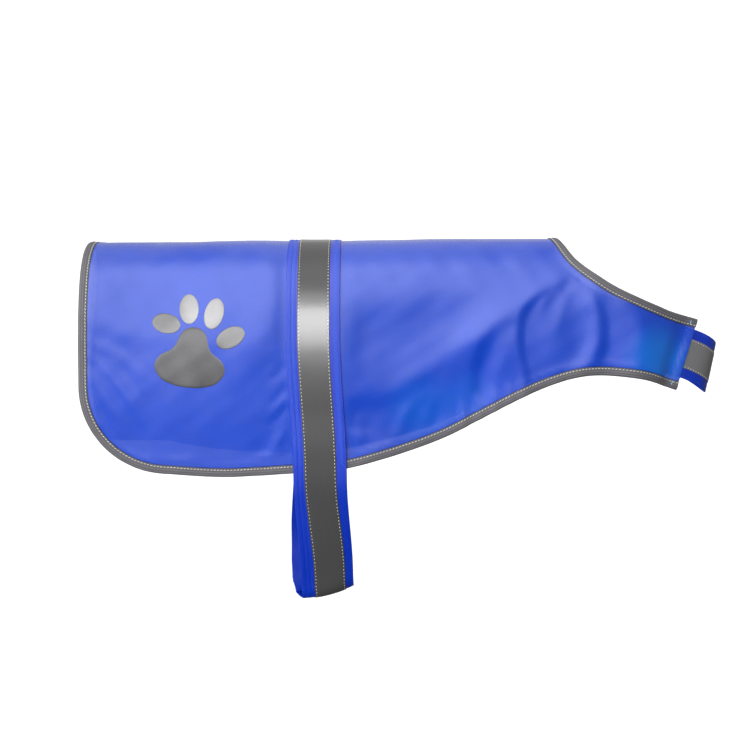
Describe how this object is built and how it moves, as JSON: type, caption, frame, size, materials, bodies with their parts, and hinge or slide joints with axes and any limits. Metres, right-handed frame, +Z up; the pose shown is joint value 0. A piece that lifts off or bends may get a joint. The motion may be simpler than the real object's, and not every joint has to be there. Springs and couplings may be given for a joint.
{
  "type": "reflective dog vest",
  "caption": "Reflective dog vest, filled out as worn: cloth over back and sides, bound edges, taped belly and chest bands with hook and loop ends, and a paw print.",
  "frame": {"origin": "inner face of the cloth on the middle of the back, under the belly band, where the dog's back holds the vest up", "axes": "+X towards the dog's head, +Y towards its left side, +Z up"},
  "size_m": [0.5593, 0.1468, 0.3156],
  "materials": {
    "vest_cloth": "blue polyester knit with a satin sheen",
    "binding": "grey polyester binding with cream stitches",
    "webbing": "blue polyester band, stitched along its edges",
    "reflective_tape": "silver grey retroreflective tape, satin",
    "fastener": "dark blue hook and loop tape",
    "paw_print": "silver grey retroreflective transfer, satin"
  },
  "bodies": {
    "root": {"main_panel": "vest_cloth", "hem_binding": "binding", "neck_binding": "binding", "belly_band": "webbing", "belly_tape": "reflective_tape", "belly_loop": "fastener", "belly_hook": "fastener", "chest_band": "webbing", "chest_tape": "reflective_tape", "chest_loop": "fastener", "chest_hook": "fastener", "paw_pad": "paw_print", "paw_toe_1": "paw_print", "paw_toe_2": "paw_print", "paw_toe_3": "paw_print", "paw_toe_4": "paw_print"}
  },
  "joints": []
}
